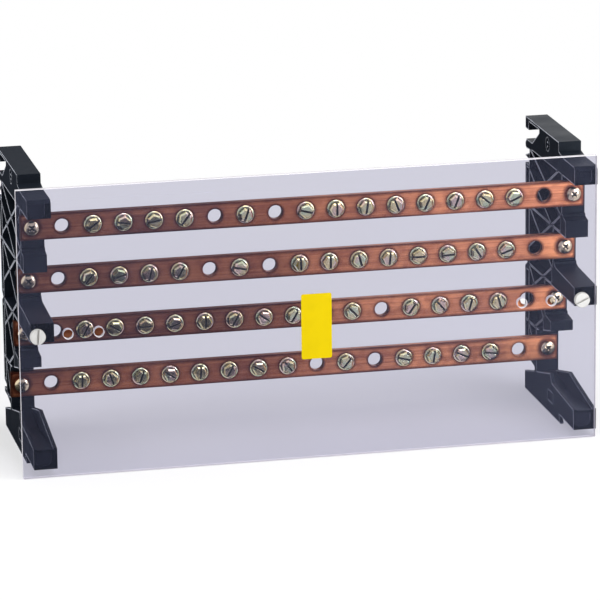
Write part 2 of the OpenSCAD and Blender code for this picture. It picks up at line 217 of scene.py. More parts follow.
class Graph:
    """The node tree of a material or a world, with one method that adds any node."""

    def __init__(self, owner: bpy.types.Material | bpy.types.World) -> None:
        """Empty the owner's node tree.

        Args:
            owner: The material or world.
        """
        owner.use_nodes = True
        self.owner = owner
        self.tree = owner.node_tree
        self.tree.nodes.clear()

    def node(
        self,
        kind: str,
        settings: dict[str, Any] | None = None,
        inputs: dict[Any, Any] | None = None,
        output: Any = 0,
    ) -> Wire:
        """Add a node.

        Args:
            kind: The node's type.
            settings: Properties to set first.
            inputs: Values or wires, by the socket's name or number.
            output: The output to hand back, by name or number.

        Returns:
            The chosen output.
        """
        made = self.tree.nodes.new(kind)
        for key, value in (settings or {}).items():
            setattr(made, key, value)
        for key, value in (inputs or {}).items():
            socket = made.inputs[key]
            if isinstance(value, Wire):
                self.tree.links.new(value.socket, socket)
            elif isinstance(value, tuple) and socket.type == "RGBA":
                socket.default_value = (*value[:3], 1.0)
            else:
                socket.default_value = value
        return Wire(self, made.outputs[output])

    def place(self, x: float = 1.0, y: float = 1.0, z: float = 1.0) -> Wire:
        """Object coordinates scaled along each axis."""
        plain = self.node("ShaderNodeTexCoord", output="Object")
        return self.node(
            "ShaderNodeVectorMath", {"operation": "MULTIPLY"}, {0: plain, 1: (x, y, z)}
        )

    def away(self) -> Wire:
        """Distance from the origin."""
        return self.node(
            "ShaderNodeVectorMath", {"operation": "LENGTH"}, {0: self.place()}, output="Value"
        )

    def part(self, axis: str) -> Wire:
        """One of the object coordinates."""
        plain = self.node("ShaderNodeTexCoord", output="Object")
        return self.node("ShaderNodeSeparateXYZ", {}, {0: plain}, output=axis)

    def noise(self, scale: float, detail: float = 3.0, vector: Wire | None = None) -> Wire:
        """Fractal noise between about 0 and 1.

        Args:
            scale: Cells to the metre of the coordinates.
            detail: Octaves of finer noise.
            vector: Coordinates, or the plain object ones.

        Returns:
            The noise value.
        """
        inputs = {"Vector": vector or self.place(), "Scale": scale, "Detail": detail}
        return self.node("ShaderNodeTexNoise", {}, inputs)

    def mix(self, share: Any, first: Any, second: Any) -> Wire:
        """Blend two colours.

        Args:
            share: Share of the second colour.
            first: Colour where the share is 0.
            second: Colour where the share is 1.

        Returns:
            The blended colour.
        """
        return self.node(
            "ShaderNodeMix", {"data_type": "RGBA"}, {"Factor": share, 6: first, 7: second}, output=2
        )

    def bump(self, height: Wire, depth: float) -> Wire:
        """Turn a height into a normal.

        Args:
            height: The height, from 0 to 1.
            depth: What a height of 1 stands for, in metres.

        Returns:
            The bumped normal.
        """
        inputs = {"Height": height, "Distance": depth, "Strength": 1.0}
        return self.node("ShaderNodeBump", {}, inputs)

    def facing(self, axis: str) -> Wire:
        """How far a face looks along an axis, from -1 to 1."""
        normal = self.node("ShaderNodeNewGeometry", output="True Normal")
        return self.node("ShaderNodeSeparateXYZ", {}, {0: normal}, output=axis)

    def _free(self, reach: float, **settings: bool) -> Wire:
        """One where no face is near, less where one lies closer than a reach."""
        settings = {"samples": NEARNESS_RAYS, **settings}
        return self.node("ShaderNodeAmbientOcclusion", settings, {"Distance": reach}, output="AO")

    def thin(self, reach: float) -> Wire:
        """One where the solid is much thicker than a reach, less over thin ribs and near edges."""
        return self._free(reach, inside=True)

    def open(self, reach: float) -> Wire:
        """One on open faces, less down in slots and corners narrower than a reach."""
        return self._free(reach, only_local=True)

    def shut(self, reach: float) -> Wire:
        """One on free faces, less beside any piece that stands closer than a reach."""
        return self._free(reach)

    def seen(self) -> Wire:
        """Find the rays that show the surround to the camera, straight or in a mirror.

        Returns:
            One for such a ray, otherwise nought.
        """
        camera = self.node("ShaderNodeLightPath", output="Is Camera Ray")
        mirrored = self.node("ShaderNodeLightPath", output="Is Glossy Ray")
        through = self.node("ShaderNodeLightPath", output="Is Transmission Ray")
        return camera.most(mirrored).most(through)

    def close(self, shader: Wire, output: str = "ShaderNodeOutputMaterial") -> Any:
        """Send a shader to the output.

        Args:
            shader: The shader.
            output: The output node's type.

        Returns:
            The material or world.
        """
        end = self.tree.nodes.new(output)
        self.tree.links.new(shader.socket, end.inputs["Surface"])
        return self.owner

    def principled(self, inputs: dict[str, Any]) -> bpy.types.Material:
        """Close the graph with a Principled shader.

        Args:
            inputs: The shader's values or wires by socket name.

        Returns:
            The finished material.
        """
        return self.close(self.node("ShaderNodeBsdfPrincipled", {}, inputs))


@dataclass(frozen=True)
class Finish:
    """What all finishes share: a name and a fresh graph."""

    name: str = "finish"

    def graph(self) -> Graph:
        """An empty material graph under the finish's name."""
        return Graph(bpy.data.materials.new(self.name))

    def material(self) -> bpy.types.Material:
        """Build the finish."""
        raise NotImplementedError


@dataclass(frozen=True)
class MouldedPlastic(Finish):
    """Black satin moulding compound with a fine mould grain, and a painted highlight in a pale
    colour on the thin rib crests and edges of its side faces.
    """

    name: str = "moulded_black"
    body: Colour = (0.007, 0.009, 0.013)
    # Pale colour painted on rib crests and side-face edges as a highlight
    crest_highlight: Colour = (0.74, 0.77, 0.85)
    grain: float = 9000.0
    grain_depth: float = 0.010 * MM
    crest_width: float = 1.0 * MM
    crest_span: Span = (0.90, 0.68)
    side_face: Span = (0.75, 0.95)
    right_side_highlight: float = 0.3
    patch: float = 55.0
    rough: Span = (0.36, 0.48)
    gloss: float = 0.10
    gloss_tint: Colour = (0.70, 0.84, 1.0)
    sheen: float = 0.015
    sheen_rough: float = 0.5
    sheen_tint: Colour = (0.40, 0.58, 1.0)

    def material(self) -> bpy.types.Material:
        """Build the finish.

        Returns:
            The material.
        """
        g = self.graph()
        start, end = self.side_face
        sideways = g.facing("X")
        # Painted highlight on thin ribs and edges: full share on left-facing faces, a smaller share
        # on right-facing ones
        highlight_sides = sideways.ramp(-start, -end) + sideways.ramp(start, end, 0.0, self.right_side_highlight)
        cloud = g.noise(self.patch, 4.0)
        wear_and_highlight = g.thin(self.crest_width).ramp(*self.crest_span) * highlight_sides
        wear_and_highlight = wear_and_highlight * cloud.ramp(0.35, 0.65, 0.65, 1.0)
        return g.principled(
            {
                "Base Color": g.mix(wear_and_highlight, self.body, self.crest_highlight),
                "Roughness": cloud.spread(*self.rough),
                "Normal": g.bump(g.noise(self.grain, 1.0), self.grain_depth),
                "Specular IOR Level": self.gloss,
                "Specular Tint": self.gloss_tint,
                "Sheen Weight": self.sheen,
                "Sheen Roughness": self.sheen_rough,
                "Sheen Tint": self.sheen_tint,
            }
        )


@dataclass(frozen=True)
class DrawnCopper(Finish):
    """Drawn copper bar with fine lines and tarnished edges, with painted light and shade that runs
    from dark at its left end to bright at its right, and painted shade round what touches it.
    """

    name: str = "drawn_copper"
    dark: Colour = (0.36, 0.108, 0.056)
    bright: Colour = (0.98, 0.39, 0.165)
    # Colour of the tarnished edges and of the painted contact shade
    tarnish_and_shade: Colour = (0.085, 0.022, 0.016)
    line: float = 1100.0
    line_stretch: float = 0.015
    line_depth: float = 0.006 * MM
    patch: float = 34.0
    patch_stretch: float = 0.7
    spot: float = 240.0
    spot_share: float = 0.65
    # Painted light and shade along X: the bar darkens towards its left end and brightens towards
    # its right
    shade_end: float = -20.0 * MM
    shaded_tone: float = 0.55
    lit_end: float = 65.0 * MM
    light_lift: float = 0.2
    edge_band: float = 2.0 * MM
    # Reach and share of the painted contact shade round nearby pieces
    contact: float = 3.0 * MM
    contact_share: float = 0.9
    rough: Span = (0.27, 0.42)

    def material(self) -> bpy.types.Material:
        """Build the finish.

        Returns:
            The material.
        """
        g = self.graph()
        lines = g.noise(self.line, 2.0, g.place(self.line_stretch, 1.0, 1.0))
        along = g.place(self.patch_stretch, 1.0, 1.0)
        cloud = g.noise(self.patch, 5.0, along)
        spots = g.noise(self.spot, 6.0, along).ramp(0.46, 0.66)
        # Painted light and shade: darker towards the left end, brighter towards the right
        painted_light_share = g.part("X").ramp(self.shade_end, self.lit_end)
        tone = (cloud * 0.5 + lines * 0.5).ramp(0.36, 0.62) * (1.0 - spots * self.spot_share)
        tone = tone * painted_light_share.ramp(0.0, 1.0, self.shaded_tone, 1.0) + painted_light_share * self.light_lift
        rim = g.thin(self.edge_band).ramp(0.97, 0.72) * cloud.ramp(0.35, 0.65, 1.0, 0.75)
        # Painted shade on the bar round the screws and other pieces that stand close
        contact_shade = g.shut(self.contact).ramp(0.98, 0.85) * self.contact_share
        colour = g.mix(tone, self.dark, self.bright)
        return g.principled(
            {
                "Base Color": g.mix(rim.most(contact_shade), colour, self.tarnish_and_shade),
                "Metallic": 1.0,
                "Roughness": (lines * 0.4 + cloud * 0.6).spread(*self.rough),
                "Normal": g.bump(lines, self.line_depth),
            }
        )


@dataclass(frozen=True)
class YellowZinc(Finish):
    """Yellow chromated zinc plate with a faint rainbow, satin flanks, bright flat tops and painted
    shade in its slot and crevices.
    """

    name: str = "yellow_zinc"
    gold: Colour = (0.97, 0.84, 0.46)
    green: Colour = (0.74, 0.90, 0.62)
    green_patch: float = 170.0
    green_share: float = 0.8
    rose: Colour = (0.96, 0.68, 0.64)
    rose_patch: float = 150.0
    rose_share: float = 0.7
    # Dark colour painted as shade in the slot and crevices
    crevice_shade: Colour = (0.05, 0.045, 0.03)
    crevice: float = 1.7 * MM
    crevice_span: Span = (0.86, 0.56)
    top_face: Span = (0.93, 0.98)
    streak: float = 700.0
    satin: Span = (0.14, 0.26)
    shine: Span = (0.08, 0.20)
    dimple: float = 1500.0
    dimple_depth: float = 0.008 * MM

    def material(self) -> bpy.types.Material:
        """Build the finish.

        Returns:
            The material.
        """
        g = self.graph()
        greens = g.noise(self.green_patch, 2.0).ramp(0.42, 0.62)
        roses = g.noise(self.rose_patch, 2.0, g.place(1.0, 1.3, 0.8)).ramp(0.5, 0.62)
        colour = g.mix(greens * self.green_share, self.gold, self.green)
        colour = g.mix(roses * self.rose_share, colour, self.rose)
        # Painted shade: darker in the slot and the crevices round the hexagon
        crevice_shade_mask = g.open(self.crevice).ramp(*self.crevice_span)
        flat = g.facing("Y").size().ramp(*self.top_face)
        streaks = g.noise(self.streak, 3.0)
        satin = streaks.spread(*self.satin)
        return g.principled(
            {
                "Base Color": g.mix(crevice_shade_mask, colour, self.crevice_shade),
                "Metallic": 1.0,
                "Roughness": satin - flat * (satin - streaks.spread(*self.shine)),
                "Normal": g.bump(g.noise(self.dimple, 2.0), self.dimple_depth),
            }
        )


@dataclass(frozen=True)
class PlatedSteel(Finish):
    """Pale plate of the cross-recess screws, with painted shade in the cross and other narrow
    crevices.
    """

    name: str = "plated_steel"
    pale: Colour = (0.94, 0.80, 0.56)
    dull: Colour = (0.76, 0.62, 0.42)
    # Dark colour painted as shade in the cross and crevices
    crevice_shade: Colour = (0.05, 0.04, 0.03)
    crevice: float = 1.2 * MM
    crevice_span: Span = (0.72, 0.40)
    patch: float = 420.0
    rough: Span = (0.12, 0.26)

    def material(self) -> bpy.types.Material:
        """Build the finish.

        Returns:
            The material.
        """
        g = self.graph()
        cloud = g.noise(self.patch, 3.0)
        colour = g.mix(cloud.ramp(0.4, 0.65), self.pale, self.dull)
        # Painted shade: darker in the cross and narrow crevices
        crevice_shade_mask = g.open(self.crevice).ramp(*self.crevice_span)
        return g.principled(
            {
                "Base Color": g.mix(crevice_shade_mask, colour, self.crevice_shade),
                "Metallic": 1.0,
                "Roughness": cloud.spread(*self.rough),
            }
        )


@dataclass(frozen=True)
class SlotGrimeAndShade(Finish):
    """Dark finish of the slots and recesses: painted shade, with some residue of plating and
    grease.
    """

    name: str = "slot_grime_and_shade"
    # Dark colour of the slot faces, painted shade as well as residue
    dark: Colour = (0.030, 0.026, 0.016)
    wear_and_highlight: Colour = (0.10, 0.09, 0.06)
    patch: float = 900.0
    metal: float = 0.5
    rough: Span = (0.4, 0.6)

    def material(self) -> bpy.types.Material:
        """Build the finish.

        Returns:
            The material.
        """
        g = self.graph()
        cloud = g.noise(self.patch, 3.0)
        return g.principled(
            {
                "Base Color": g.mix(cloud.ramp(0.45, 0.7), self.dark, self.wear_and_highlight),
                "Metallic": self.metal,
                "Roughness": cloud.spread(*self.rough),
            }
        )


@dataclass(frozen=True)
class ClearSheet(Finish):
    """Clear cover sheet with a lavender grey tint that darkens all seen through it, partly the
    sheet's cast and partly painted shade for the greyer background behind, and a trace of dust.
    """

    name: str = "clear_sheet"
    # Tint of what is seen through the sheet: the sheet's cast, darkened as painted shade for the
    # greyer background
    tint_and_shade: Colour = (0.800, 0.795, 0.845)
    dust: Colour = (0.42, 0.46, 0.70)
    dust_share: Span = (0.018, 0.034)
    smear: float = 9.0
    rough: Span = (0.05, 0.12)

    def material(self) -> bpy.types.Material:
        """Build the finish.

        Returns:
            The material.
        """
        g = self.graph()
        smear = g.noise(self.smear, 4.0)
        coat = {"Base Color": self.dust, "Roughness": smear.spread(*self.rough)}
        film = g.node("ShaderNodeBsdfPrincipled", {}, coat)
        clear = g.node("ShaderNodeBsdfTransparent", {}, {"Color": self.tint_and_shade})
        share = smear.spread(*self.dust_share)
        return g.close(g.node("ShaderNodeMixShader", {}, {0: share, 1: clear, 2: film}))


@dataclass(frozen=True)
class SawnEdge(Finish):
    """Pale, scattering edge of the clear sheet, where it was sawn and drilled."""

    name: str = "sawn_edge"
    pale: Colour = (0.86, 0.83, 0.86)
    dull: Colour = (0.74, 0.72, 0.77)
    mark: float = 1800.0
    cover: Span = (0.72, 0.92)
    rough: Span = (0.3, 0.5)

    def material(self) -> bpy.types.Material:
        """Build the finish.

        Returns:
            The material.
        """
        g = self.graph()
        marks = g.noise(self.mark, 2.0)
        return g.principled(
            {
                "Base Color": g.mix(marks.ramp(0.35, 0.65), self.pale, self.dull),
                "Roughness": marks.spread(*self.rough),
                "Alpha": marks.spread(*self.cover),
            }
        )


@dataclass(frozen=True)
class WhiteNylon(Finish):
    """White nylon of the cover screws."""

    name: str = "white_nylon"
    white: Colour = (0.53, 0.525, 0.51)
    dull: Colour = (0.48, 0.475, 0.455)
    patch: float = 300.0
    rough: Span = (0.36, 0.5)

    def material(self) -> bpy.types.Material:
        """Build the finish.

        Returns:
            The material.
        """
        g = self.graph()
        cloud = g.noise(self.patch, 3.0)
        return g.principled(
            {
                "Base Color": g.mix(cloud.ramp(0.4, 0.7), self.white, self.dull),
                "Roughness": cloud.spread(*self.rough),
            }
        )


@dataclass(frozen=True)
class LabelFilm(Finish):
    """Satin yellow film of the label."""

    name: str = "label_film"
    yellow: Colour = (0.62, 0.460, 0.0)
    deep: Colour = (0.585, 0.434, 0.0)
    patch: float = 120.0
    rough: Span = (0.30, 0.40)
    gloss: float = 0.06

    def material(self) -> bpy.types.Material:
        """Build the finish.

        Returns:
            The material.
        """
        g = self.graph()
        cloud = g.noise(self.patch, 4.0)
        return g.principled(
            {
                "Base Color": g.mix(cloud.ramp(0.4, 0.7), self.yellow, self.deep),
                "Roughness": cloud.spread(*self.rough),
                "Specular IOR Level": self.gloss,
            }
        )


class Bench:
    """Modelling steps that the pieces share, each made with operators on one active object."""

    @staticmethod
    def pick(*objects: bpy.types.Object) -> None:
        """Select these objects alone, in object mode, and make the last one active.

        Args:
            *objects: The objects, or none.
        """
        if bpy.context.object is not None and bpy.context.object.mode != "OBJECT":
            bpy.ops.object.mode_set(mode="OBJECT")
        bpy.ops.object.select_all(action="DESELECT")
        for obj in objects:
            obj.select_set(True)
            bpy.context.view_layer.objects.active = obj

    @staticmethod
    def _named(name: str) -> bpy.types.Object:
        """Name the new active object and freeze its place into its mesh.

        Args:
            name: The name.

        Returns:
            The object.
        """
        obj = bpy.context.object
        obj.name = name
        obj.data.name = name
        bpy.ops.object.transform_apply(location=True, rotation=True, scale=True)
        return obj

    @classmethod
    def block(cls, name: str, low: Vector, high: Vector) -> bpy.types.Object:
        """Add a cube between two corners.

        Args:
            name: The object's name.
            low: The corner with the smallest coordinates.
            high: The opposite corner.

        Returns:
            The block.
        """
        cls.pick()
        bpy.ops.mesh.primitive_cube_add(size=1.0, location=(low + high) / 2)
        bpy.context.object.scale = high - low
        return cls._named(name)

    @classmethod
    def rod(
        cls, name: str, radius: float, low: float, high: float, sides: int = 48
    ) -> bpy.types.Object:
        """Add a cylinder on the Z axis.

        Args:
            name: The object's name.
            radius: Its radius, to the corners.
            low: Height of its lower end.
            high: Height of its upper end.
            sides: Number of flat sides.

        Returns:
            The rod.
        """
        cls.pick()
        bpy.ops.mesh.primitive_cylinder_add(
            vertices=sides, radius=radius, depth=high - low, location=(0.0, 0.0, (low + high) / 2)
        )
        return cls._named(name)

    @classmethod
    def modify(cls, obj: bpy.types.Object, kind: str, **settings: Any) -> None:
        """Add a modifier, set it and apply it.

        Args:
            obj: The object.
            kind: The modifier's type.
            **settings: Its properties.
        """
        cls.pick(obj)
        modifier = obj.modifiers.new(kind.lower(), kind)
        for key, value in settings.items():
            setattr(modifier, key, value)
        bpy.ops.object.modifier_apply(modifier=modifier.name)

    @classmethod
    def combine(
        cls,
        obj: bpy.types.Object,
        tool: bpy.types.Object,
        operation: str = "DIFFERENCE",
        **settings: Any,
    ) -> None:
        """Cut, join or cross an object with a tool that is then thrown away.

        Args:
            obj: The object that stays.
            tool: The tool.
            operation: The boolean operation.
            **settings: More properties of the modifier.
        """
        cls.modify(obj, "BOOLEAN", object=tool, operation=operation, solver="EXACT", **settings)
        bpy.data.meshes.remove(tool.data)

    @classmethod
    def carve(
        cls,
        obj: bpy.types.Object,
        tool: bpy.types.Object,
        outer: bpy.types.Material,
        inner: bpy.types.Material,
    ) -> None:
        """Cut a recess whose faces get a finish of their own.

        Args:
            obj: The object that stays.
            tool: The cutter, thrown away afterwards.
            outer: The finish of the object.
            inner: The finish of the cut faces.
        """
        obj.data.materials.clear()
        obj.data.materials.append(outer)
        tool.data.materials.append(inner)
        cls.combine(obj, tool, material_mode="TRANSFER")

    @classmethod
    def bevel(cls, obj: bpy.types.Object, width: float, segments: int, clamp: bool = True) -> None:
        """Round the sharp edges.

        Args:
            obj: The object.
            width: Width of the rounded edges.
            segments: Facets across one rounded edge.
            clamp: Whether the width gives way where edges are close.
        """
        cls.modify(
            obj,
            "BEVEL",
            width=width,
            segments=segments,
            limit_method="ANGLE",
            angle_limit=math.radians(SHARP_ANGLE),
            use_clamp_overlap=clamp,
        )

    @classmethod
    def soften(cls, obj: bpy.types.Object, width: float, segments: int = 2) -> None:
        """Round the sharp edges and shade the rest smooth.

        Args:
            obj: The object.
            width: Width of the rounded edges.
            segments: Facets across one rounded edge.
        """
        cls.bevel(obj, width, segments)
        cls.even(obj)

    @classmethod
    def even(cls, obj: bpy.types.Object, sharp: float = SHARP_ANGLE) -> None:
        """Shade an object smooth over its rounded edges and flat over its large faces.

        Args:
            obj: The object.
            sharp: Angle in degrees above which an edge stays sharp.
        """
        cls.pick(obj)
        bpy.ops.object.shade_smooth_by_angle(angle=math.radians(sharp))
        cls.modify(obj, "WEIGHTED_NORMAL", keep_sharp=True, weight=100)

    @classmethod
    def faces(cls, obj: bpy.types.Object, test: Callable[[bpy.types.MeshPolygon], bool]) -> None:
        """Enter edit mode with only those faces selected that pass a test.

        Args:
            obj: The object.
            test: The test, by a face's place or normal.
        """
        cls.pick(obj)
        bpy.ops.object.mode_set(mode="EDIT")
        bpy.ops.mesh.select_mode(type="FACE")
        bpy.ops.mesh.select_all(action="DESELECT")
        bpy.ops.object.mode_set(mode="OBJECT")
        for face in obj.data.polygons:
            face.select = test(face)
        bpy.ops.object.mode_set(mode="EDIT")

    @classmethod
    def upper(cls, obj: bpy.types.Object) -> None:
        """Enter edit mode with the faces selected that look up at the top."""
        top = max(corner[2] for corner in obj.bound_box)
        cls.faces(obj, lambda face: face.normal.z > LOOKING and abs(face.center.z - top) < TOUCH)

    @classmethod
    def lower(cls, obj: bpy.types.Object) -> None:
        """Enter edit mode with the faces selected that look down at the bottom."""
        low = min(corner[2] for corner in obj.bound_box)
        cls.faces(obj, lambda face: face.normal.z < -LOOKING and abs(face.center.z - low) < TOUCH)

    @staticmethod
    def pull(step: float, share: float) -> None:
        """Extrude the selected faces along Z and scale the new ones about the Z axis."""
        bpy.ops.mesh.extrude_region_move(TRANSFORM_OT_translate={"value": (0.0, 0.0, step)})
        bpy.ops.transform.resize(value=(share, share, 1.0), center_override=ORIGIN)

    @classmethod
    def drill(cls, radius: float, rear: Vector, depth: float) -> bpy.types.Object:
        """Add a drill that passes through a plate along Y.

        Args:
            radius: The hole's radius.
            rear: The hole's middle on the plate's rear face.
            depth: The plate's thickness.

        Returns:
            The drill.
        """
        drill = cls.rod("drill", radius, -MM, depth + MM, HOLE_SIDES)
        drill.data.transform(facing_front(rear, 0.0))
        return drill

    @classmethod
    def cutter(cls, length: float, width: float, top: float, deep: float) -> bpy.types.Object:
        """Add a cutter for a slot across the Z axis.

        Args:
            length: The slot's length.
            width: Its width.
            top: Height of the face that it is cut into.
            deep: Its depth.

        Returns:
            The cutter.
        """
        low = Vector((-length / 2, -width / 2, top - deep))
        return cls.block("cutter", low, Vector((-low.x, -low.y, top + MM)))

    @classmethod
    def copy(cls, obj: bpy.types.Object, name: str, move: Matrix) -> bpy.types.Object:
        """Copy an object with a mesh of its own, moved to its place.

        Args:
            obj: The pattern.
            name: The copy's name.
            move: Where the copy goes.

        Returns:
            The copy.
        """
        made = obj.copy()
        made.data = obj.data.copy()
        made.name = name
        made.data.name = name
        made.data.transform(move)
        bpy.context.scene.collection.objects.link(made)
        return made

    @classmethod
    def join(cls, parts: list[bpy.types.Object]) -> bpy.types.Object:
        """Join several objects into the last one.

        Args:
            parts: The objects.

        Returns:
            The joined object.
        """
        cls.pick(*parts)
        if len(parts) > 1:
            bpy.ops.object.join()
        return parts[-1]

    @classmethod
    def tidy(cls, obj: bpy.types.Object) -> None:
        """Merge doubled points and turn all faces outward.

        Args:
            obj: The object.
        """
        cls.faces(obj, lambda face: True)
        bpy.ops.mesh.remove_doubles(threshold=WELD)
        bpy.ops.mesh.normals_make_consistent(inside=False)
        cls.pick(obj)


def adopt(piece: bpy.types.Object, node: str, material: bpy.types.Material) -> None:
    """Dress a finished piece and put it in its CAD node's place.

    Args:
        piece: The finished piece.
        node: The CAD node that it stands for.
        material: The finish.
    """
    if not piece.data.materials:
        piece.data.materials.append(material)
    else:
        piece.data.materials[0] = material
    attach(piece, "root")
    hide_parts(node)
    LOG.info("%s: %d faces, %s", piece.name, len(piece.data.polygons), material.name)


def facing_front(place: Vector, turn: float) -> Matrix:
    """Place a screw that stands on Z so that its head looks to the front.

    Args:
        place: Where its head rests.
        turn: Its slot's angle in degrees, as seen from the front.

    Returns:
        The move.
    """
    spin = Matrix.Rotation(-math.radians(turn), 4, "Y")
    return Matrix.Translation(place) @ spin @ Matrix.Rotation(math.radians(90.0), 4, "X")


@dataclass
class Row:
    """The places along one bar, counted from its left end."""

    pitch: float = 17.5 * MM
    first_x: float = -155.45 * MM
    last_place: int = 18

    def x(self, place: int) -> float:
        """Where one place is along the bar."""
        return self.first_x + place * self.pitch


@dataclass
class Busbars:
    """The four drilled copper bars."""

    row: Row
    finish: DrawnCopper
    plain_radius: float = 4.0 * MM
    term_radius: float = 2.5 * MM
    end_radius: float = 2.0 * MM
    edge: float = 0.35 * MM
    plain_places: Table = ((1, 6, 8, 17), (1, 6, 8, 17), (1, 12, 17), (1, 10, 12, 17))

    def _radius(self, bar: int, place: int) -> float:
        """Choose the hole's radius.

        Args:
            bar: The bar, from 0 at the top.
            place: The place along the bar.

        Returns:
            The radius.
        """
        if place in (0, self.row.last_place):
            return self.end_radius
        return self.plain_radius if place in self.plain_places[bar] else self.term_radius

    def build(self) -> None:
        """Model the bars and hide their CAD nodes."""
        material = self.finish.material()
        for bar in range(len(self.plain_places)):
            node = f"busbar_{bar + 1}"
            low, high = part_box(node)
            piece = Bench.block(f"bar_{bar + 1}", low, high)
            drills = []
            for place in range(self.row.last_place + 1):
                rear = Vector((self.row.x(place), high.y, (low.z + high.z) / 2))
                drills.append(Bench.drill(self._radius(bar, place), rear, high.y - low.y))
            Bench.combine(piece, Bench.join(drills))
            Bench.soften(piece, self.edge)
            adopt(piece, node, material)


@dataclass
class TerminalScrews:
    """The slotted hexagon screws with a round flange, modelled once."""

    row: Row
    finish: YellowZinc
    slot_grime_and_shade_finish: SlotGrimeAndShade
    flange_radius: float = 5.125 * MM
    flange_sides: int = 56
    rim_h: float = 0.5 * MM
    bulge_h: float = 0.8 * MM
    bulge_share: float = 0.945
    flange_h: float = 1.0 * MM
    across_flats: float = 7.25 * MM
    hex_h: float = 3.0 * MM
    taper_h: float = 0.9 * MM
    ledge: float = 0.1 * MM
    slot_w: float = 1.2 * MM
    slot_deep: float = 1.5 * MM
    shank_radius: float = 2.47 * MM
    root_radius: float = 2.1 * MM
    shank_len: float = 10.0 * MM
    shank_sides: int = 24
    thread_pitch: float = 0.8 * MM
    edge: float = 0.14 * MM
    turns: Table = (
        (0, 0, 35, 170, 10, 52, 0, 70, 0, 165, 90, 80, 112, 66, 68, 140, 25, 0, 0),
        (0, 0, 50, 15, 75, 60, 0, 168, 0, 92, 88, 105, 84, 0, 3, 122, 20, 0, 0),
        (0, 0, 60, 148, 0, 20, 88, 60, 141, 60, 0, 133, 0, 55, 130, 75, 105, 0, 0),
        (0, 0, 88, 110, 69, 146, 86, 60, 149, 128, 0, 50, 0, 165, 81, 156, 172, 0, 0),
    )

    def _head(self) -> bpy.types.Object:
        """Model the chamfered, slotted hexagon on its flange.

        Returns:
            The head.
        """
        top = self.flange_h + self.hex_h
        corner = self.across_flats / math.sqrt(3.0)
        head = Bench.rod("terminal_screw", corner, self.rim_h, top - self.taper_h, 6)
        Bench.upper(head)
        Bench.pull(self.taper_h, 1.0 - self.taper_h / corner)
        Bench.pick(head)
        flange = Bench.rod("flange", self.flange_radius, 0.0, self.rim_h, self.flange_sides)
        Bench.upper(flange)
        Bench.pull(self.bulge_h - self.rim_h, self.bulge_share)
        inner = (corner + self.ledge) / (self.flange_radius * self.bulge_share)
        Bench.pull(self.flange_h - self.bulge_h, inner)
        Bench.pick(flange)
        Bench.combine(head, flange, "UNION")
        reach = 2 * self.flange_radius * CUTTER_REACH
        cutter = Bench.cutter(reach, self.slot_w, top, self.slot_deep)
        Bench.carve(head, cutter, self.finish.material(), self.slot_grime_and_shade_finish.material())
        return head

    def _shank(self) -> bpy.types.Object:
        """Model the threaded shank below the head.

        Returns:
            The shank.
        """
        shank = Bench.rod(
            "shank", self.shank_radius, -self.thread_pitch, self.flange_h / 2, self.shank_sides
        )
        Bench.lower(shank)
        share = self.root_radius / self.shank_radius
        half = self.thread_pitch / 2
        for _ in range(int((self.shank_len - self.thread_pitch) / self.thread_pitch) - 1):
            Bench.pull(-half, share)
            Bench.pull(-half, 1.0 / share)
        Bench.pull(-half, share)
        Bench.pick(shank)
        return shank

    def build(self, plain_places: Table) -> None:
        """Model one screw, copy it along the bars and hide the CAD nodes.

        Args:
            plain_places: The places of each bar that hold no screw.
        """
        pattern = self._head()
        material = pattern.data.materials[0]
        Bench.combine(pattern, self._shank(), "UNION")
        Bench.soften(pattern, self.edge)
        for bar, plain in enumerate(plain_places):
            low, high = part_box(f"busbar_{bar + 1}")
            copies = []
            for place in range(1, self.row.last_place):
                if place not in plain:
                    at = Vector((self.row.x(place), low.y, (low.z + high.z) / 2))
                    move = facing_front(at, self.turns[bar][place])
                    copies.append(Bench.copy(pattern, f"screws_{bar + 1}_{place}", move))
            piece = Bench.join(copies)
            piece.name = f"screws_{bar + 1}"
            adopt(piece, f"terminal_screws_{bar + 1}", material)
        bpy.data.meshes.remove(pattern.data)


@dataclass(frozen=True)
class ScrewBlank:
    """A turned screw before its recess is cut, with its head standing on Z = 0.

    The profile gives shares of the head's height and radius, from the rounding's foot to its top.
    """

    head_radius: float
    head_h: float
    profile: Profile
    shank_radius: float = 1.97 * MM
    shank_len: float = 14.0 * MM
    shank_sides: int = 24
    sunk_share: float = 0.2
    tip_share: float = 0.04
    tip_taper: float = 0.7

    def _head(self, name: str) -> bpy.types.Object:
        """Model the head.

        Args:
            name: The object's name.

        Returns:
            The head.
        """
        at, wide = self.profile[0]
        head = Bench.rod(name, self.head_radius * wide, 0.0, self.head_h * at)
        Bench.upper(head)
        for next_at, next_wide in self.profile[1:]:
            Bench.pull((next_at - at) * self.head_h, next_wide / wide)
            at, wide = next_at, next_wide
        Bench.pick(head)
        return head

    def build(self, name: str) -> bpy.types.Object:
        """Model the head and its shank as one solid.

        Args:
            name: The object's name.

        Returns:
            The screw.
        """
        screw = self._head(name)
        tip = self.tip_share * self.shank_len
        low, high = tip - self.shank_len, self.sunk_share * self.head_h
        shank = Bench.rod("shank", self.shank_radius, low, high, self.shank_sides)
        Bench.lower(shank)
        Bench.pull(-tip, self.tip_taper)
        Bench.pick(shank)
        Bench.combine(screw, shank, "UNION")
        return screw

    def seat(self, node: str) -> Vector:
        """Where the head rests, from the CAD node's box."""
        low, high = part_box(node)
        return Vector(((low.x + high.x) / 2, low.y + self.head_h, (low.z + high.z) / 2))


